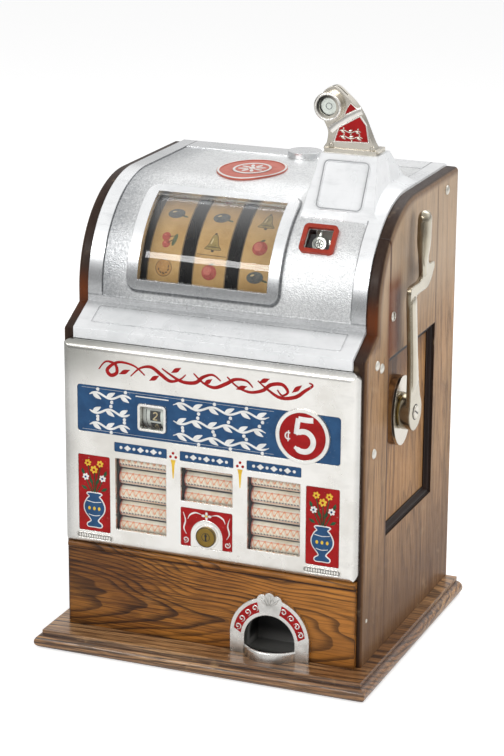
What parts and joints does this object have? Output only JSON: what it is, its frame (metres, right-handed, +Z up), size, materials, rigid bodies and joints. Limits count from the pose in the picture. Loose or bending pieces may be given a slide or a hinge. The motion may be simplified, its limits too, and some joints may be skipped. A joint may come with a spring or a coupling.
{
  "type": "trade stimulator",
  "caption": "Counter-top mint vending machine with three spinning reels behind curved glass, a side pull handle, cast aluminium fronts, an oak cabinet and a payout cup.",
  "frame": {"origin": "middle of the underside of the base board", "axes": "+X towards the handle side, -Y towards the front, +Z up"},
  "size_m": [0.425, 0.37, 0.679],
  "materials": {
    "oak": "satin varnish over open grain",
    "cast_aluminium": "polished rims and stippled field",
    "white_metal": "polished casting with red ornament",
    "clear_glass": "clear",
    "red_enamel": "gloss enamel",
    "nickel": "worn nickel plate",
    "brass": "aged",
    "steel": "plain",
    "grey_iron": "as cast",
    "black_metal": "matt black",
    "printed_paper": "aged print"
  },
  "bodies": {
    "cabinet": {"base_board": "oak", "right_front_stile": "oak", "right_rear_stile": "oak", "right_top_rail": "oak", "right_bottom_rail": "oak", "right_panel": "oak", "left_front_stile": "oak", "left_rear_stile": "oak", "left_top_rail": "oak", "left_bottom_rail": "oak", "left_panel": "oak", "back_sill": "oak", "back_head": "oak", "front_apron": "oak", "upper_casting": "cast_aluminium", "payout_cup": "white_metal", "reel_glass": "clear_glass", "coin_window_glass": "clear_glass", "coin_head_lens": "clear_glass", "coin_window_bezel": "red_enamel", "badge": "red_enamel", "coin_head": "nickel", "handle_plate": "nickel", "coin": "nickel", "handle_bush": "brass", "hinge_leaves": "brass", "coin_tube": "brass", "tie_rods": "steel", "reel_shaft": "steel", "stop_shaft": "steel", "payout_slides": "steel", "coin_chute": "steel", "return_spring": "steel", "mech_table": "grey_iron", "left_frame": "grey_iron", "right_frame": "grey_iron", "cash_box": "black_metal"},
    "front_panel": {"lower_casting": "cast_aluminium", "window_panes": "clear_glass", "lock_barrel": "brass", "indicator_bracket": "steel", "mint_columns": "steel", "mint_rolls": "printed_paper"},
    "front_lock": {"lock_plug": "brass"},
    "indicator": {"indicator_wheel": "printed_paper"},
    "vend": {"vend_shelf": "steel"},
    "reel_one": {"reel_1": "black_metal", "reel_strip_1": "printed_paper"},
    "reel_two": {"reel_2": "black_metal", "reel_strip_2": "printed_paper"},
    "reel_three": {"reel_3": "black_metal", "reel_strip_3": "printed_paper"},
    "stops": {"stop_levers": "steel"},
    "handle": {"handle_lever": "nickel", "handle_shaft": "steel", "handle_crank": "grey_iron"},
    "clock": {"clock_fan": "brass"},
    "door": {"back_door": "oak", "door_leaves": "brass"},
    "latch": {"door_latch": "brass"}
  },
  "joints": [
    {"name": "handle_pull", "type": "hinge", "parent": "cabinet", "child": "handle", "pos_m": [0.2, -0.0155, 0.304], "axis": [1, 0, 0], "range_deg": [0, 75], "stiffness_Nm_per_rad": 3},
    {"name": "reel_1_spin", "type": "hinge", "parent": "cabinet", "child": "reel_one", "pos_m": [-0.086, 0.0295, 0.4305], "axis": [1, 0, 0], "continuous": true},
    {"name": "reel_2_spin", "type": "hinge", "parent": "cabinet", "child": "reel_two", "pos_m": [-0.028, 0.0295, 0.4305], "axis": [1, 0, 0], "continuous": true},
    {"name": "reel_3_spin", "type": "hinge", "parent": "cabinet", "child": "reel_three", "pos_m": [0.03, 0.0295, 0.4305], "axis": [1, 0, 0], "continuous": true},
    {"name": "stops_lift", "type": "hinge", "parent": "cabinet", "child": "stops", "pos_m": [-0.028, 0.1045, 0.2855], "axis": [1, 0, 0], "range_deg": [0, 12]},
    {"name": "clock_spin", "type": "hinge", "parent": "cabinet", "child": "clock", "pos_m": [-0.125, 0.0895, 0.3305], "axis": [1, 0, 0], "continuous": true},
    {"name": "door_swing", "type": "hinge", "parent": "cabinet", "child": "door", "pos_m": [-0.17, 0.1815, 0.27], "axis": [0, 0, 1], "range_deg": [0, 110]},
    {"name": "latch_turn", "type": "hinge", "parent": "door", "child": "latch", "pos_m": [0, 0.171, 0.461], "axis": [0, -1, 0], "range_deg": [0, 90]},
    {"name": "front_lift", "type": "slide", "parent": "cabinet", "child": "front_panel", "axis": [0, -1, 0], "range_m": [0, 0.06]},
    {"name": "lock_turn", "type": "hinge", "parent": "front_panel", "child": "front_lock", "pos_m": [0, -0.15, 0.163], "axis": [0, -1, 0], "range_deg": [0, 90]},
    {"name": "indicator_turn", "type": "hinge", "parent": "front_panel", "child": "indicator", "pos_m": [-0.069, -0.1215, 0.3005], "axis": [1, 0, 0], "continuous": true},
    {"name": "vend_draw", "type": "slide", "parent": "front_panel", "child": "vend", "axis": [0, 1, 0], "range_m": [0, 0.021]}
  ],
  "couplings": [
    {"joint": "stops_lift", "follows": "handle_pull", "ratio": 0.16},
    {"joint": "vend_draw", "follows": "handle_pull", "m_per_rad": 0.016043}
  ]
}
